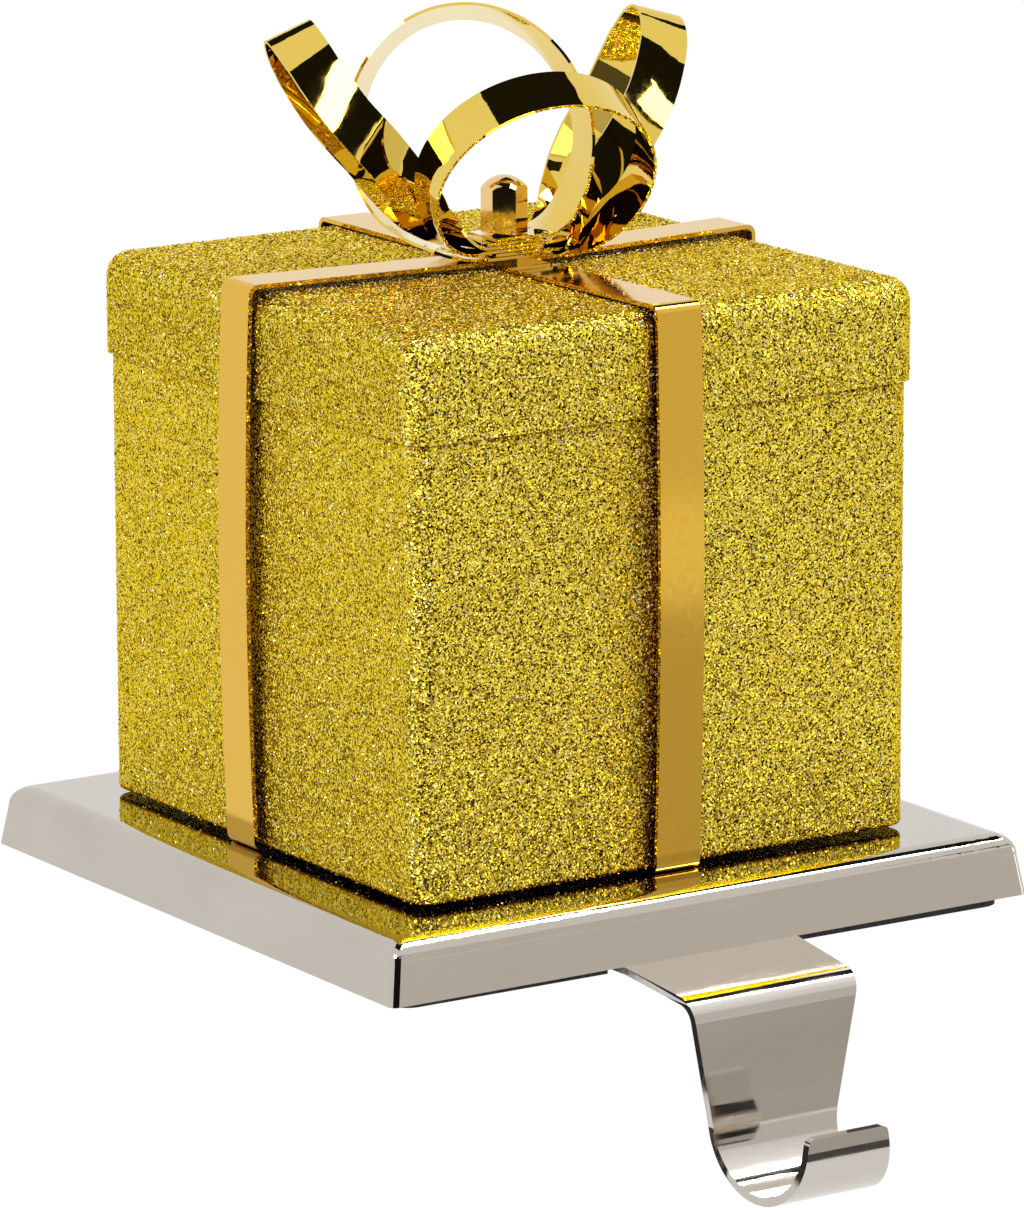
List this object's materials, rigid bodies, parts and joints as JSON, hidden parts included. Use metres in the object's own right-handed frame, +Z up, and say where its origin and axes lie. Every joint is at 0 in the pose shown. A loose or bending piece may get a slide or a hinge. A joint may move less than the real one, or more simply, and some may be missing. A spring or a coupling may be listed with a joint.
{
  "type": "mantel stocking holder",
  "caption": "Mantel stocking holder: glitter gift box tied with polished metal ribbon and a curled bow on a heavy square chrome base with a J-shaped front hook.",
  "frame": {"origin": "centre of the pad's underside, where the part rests on the mantel", "axes": "+Z up, -Y to the front where the hook hangs, +X to the right seen from the front"},
  "size_m": [0.1028, 0.1342, 0.1485],
  "materials": {
    "chrome_plate": "mirror polished plating",
    "pad": "matt foam sheet",
    "steel": "zinc plated",
    "glitter_body": "coarse gold glitter",
    "glitter_lid": "coarse gold glitter",
    "gold_ribbon": "polished gold plating",
    "gold_bow": "mirror polished gold plating",
    "gold_nut": "mirror polished gold plating"
  },
  "bodies": {
    "root": {"base_plate": "chrome_plate", "base_pad": "pad", "hook_strap": "chrome_plate", "strap_screw_left": "steel", "strap_screw_right": "steel", "box_body": "glitter_body", "box_lid": "glitter_lid", "ribbon_side_to_side": "gold_ribbon", "ribbon_front_to_back": "gold_ribbon", "bow_ring_strip": "gold_bow", "bow_loop_strip": "gold_bow", "tie_rod": "steel", "cap_nut": "gold_nut", "base_nut": "steel", "base_washer": "steel"}
  },
  "joints": []
}
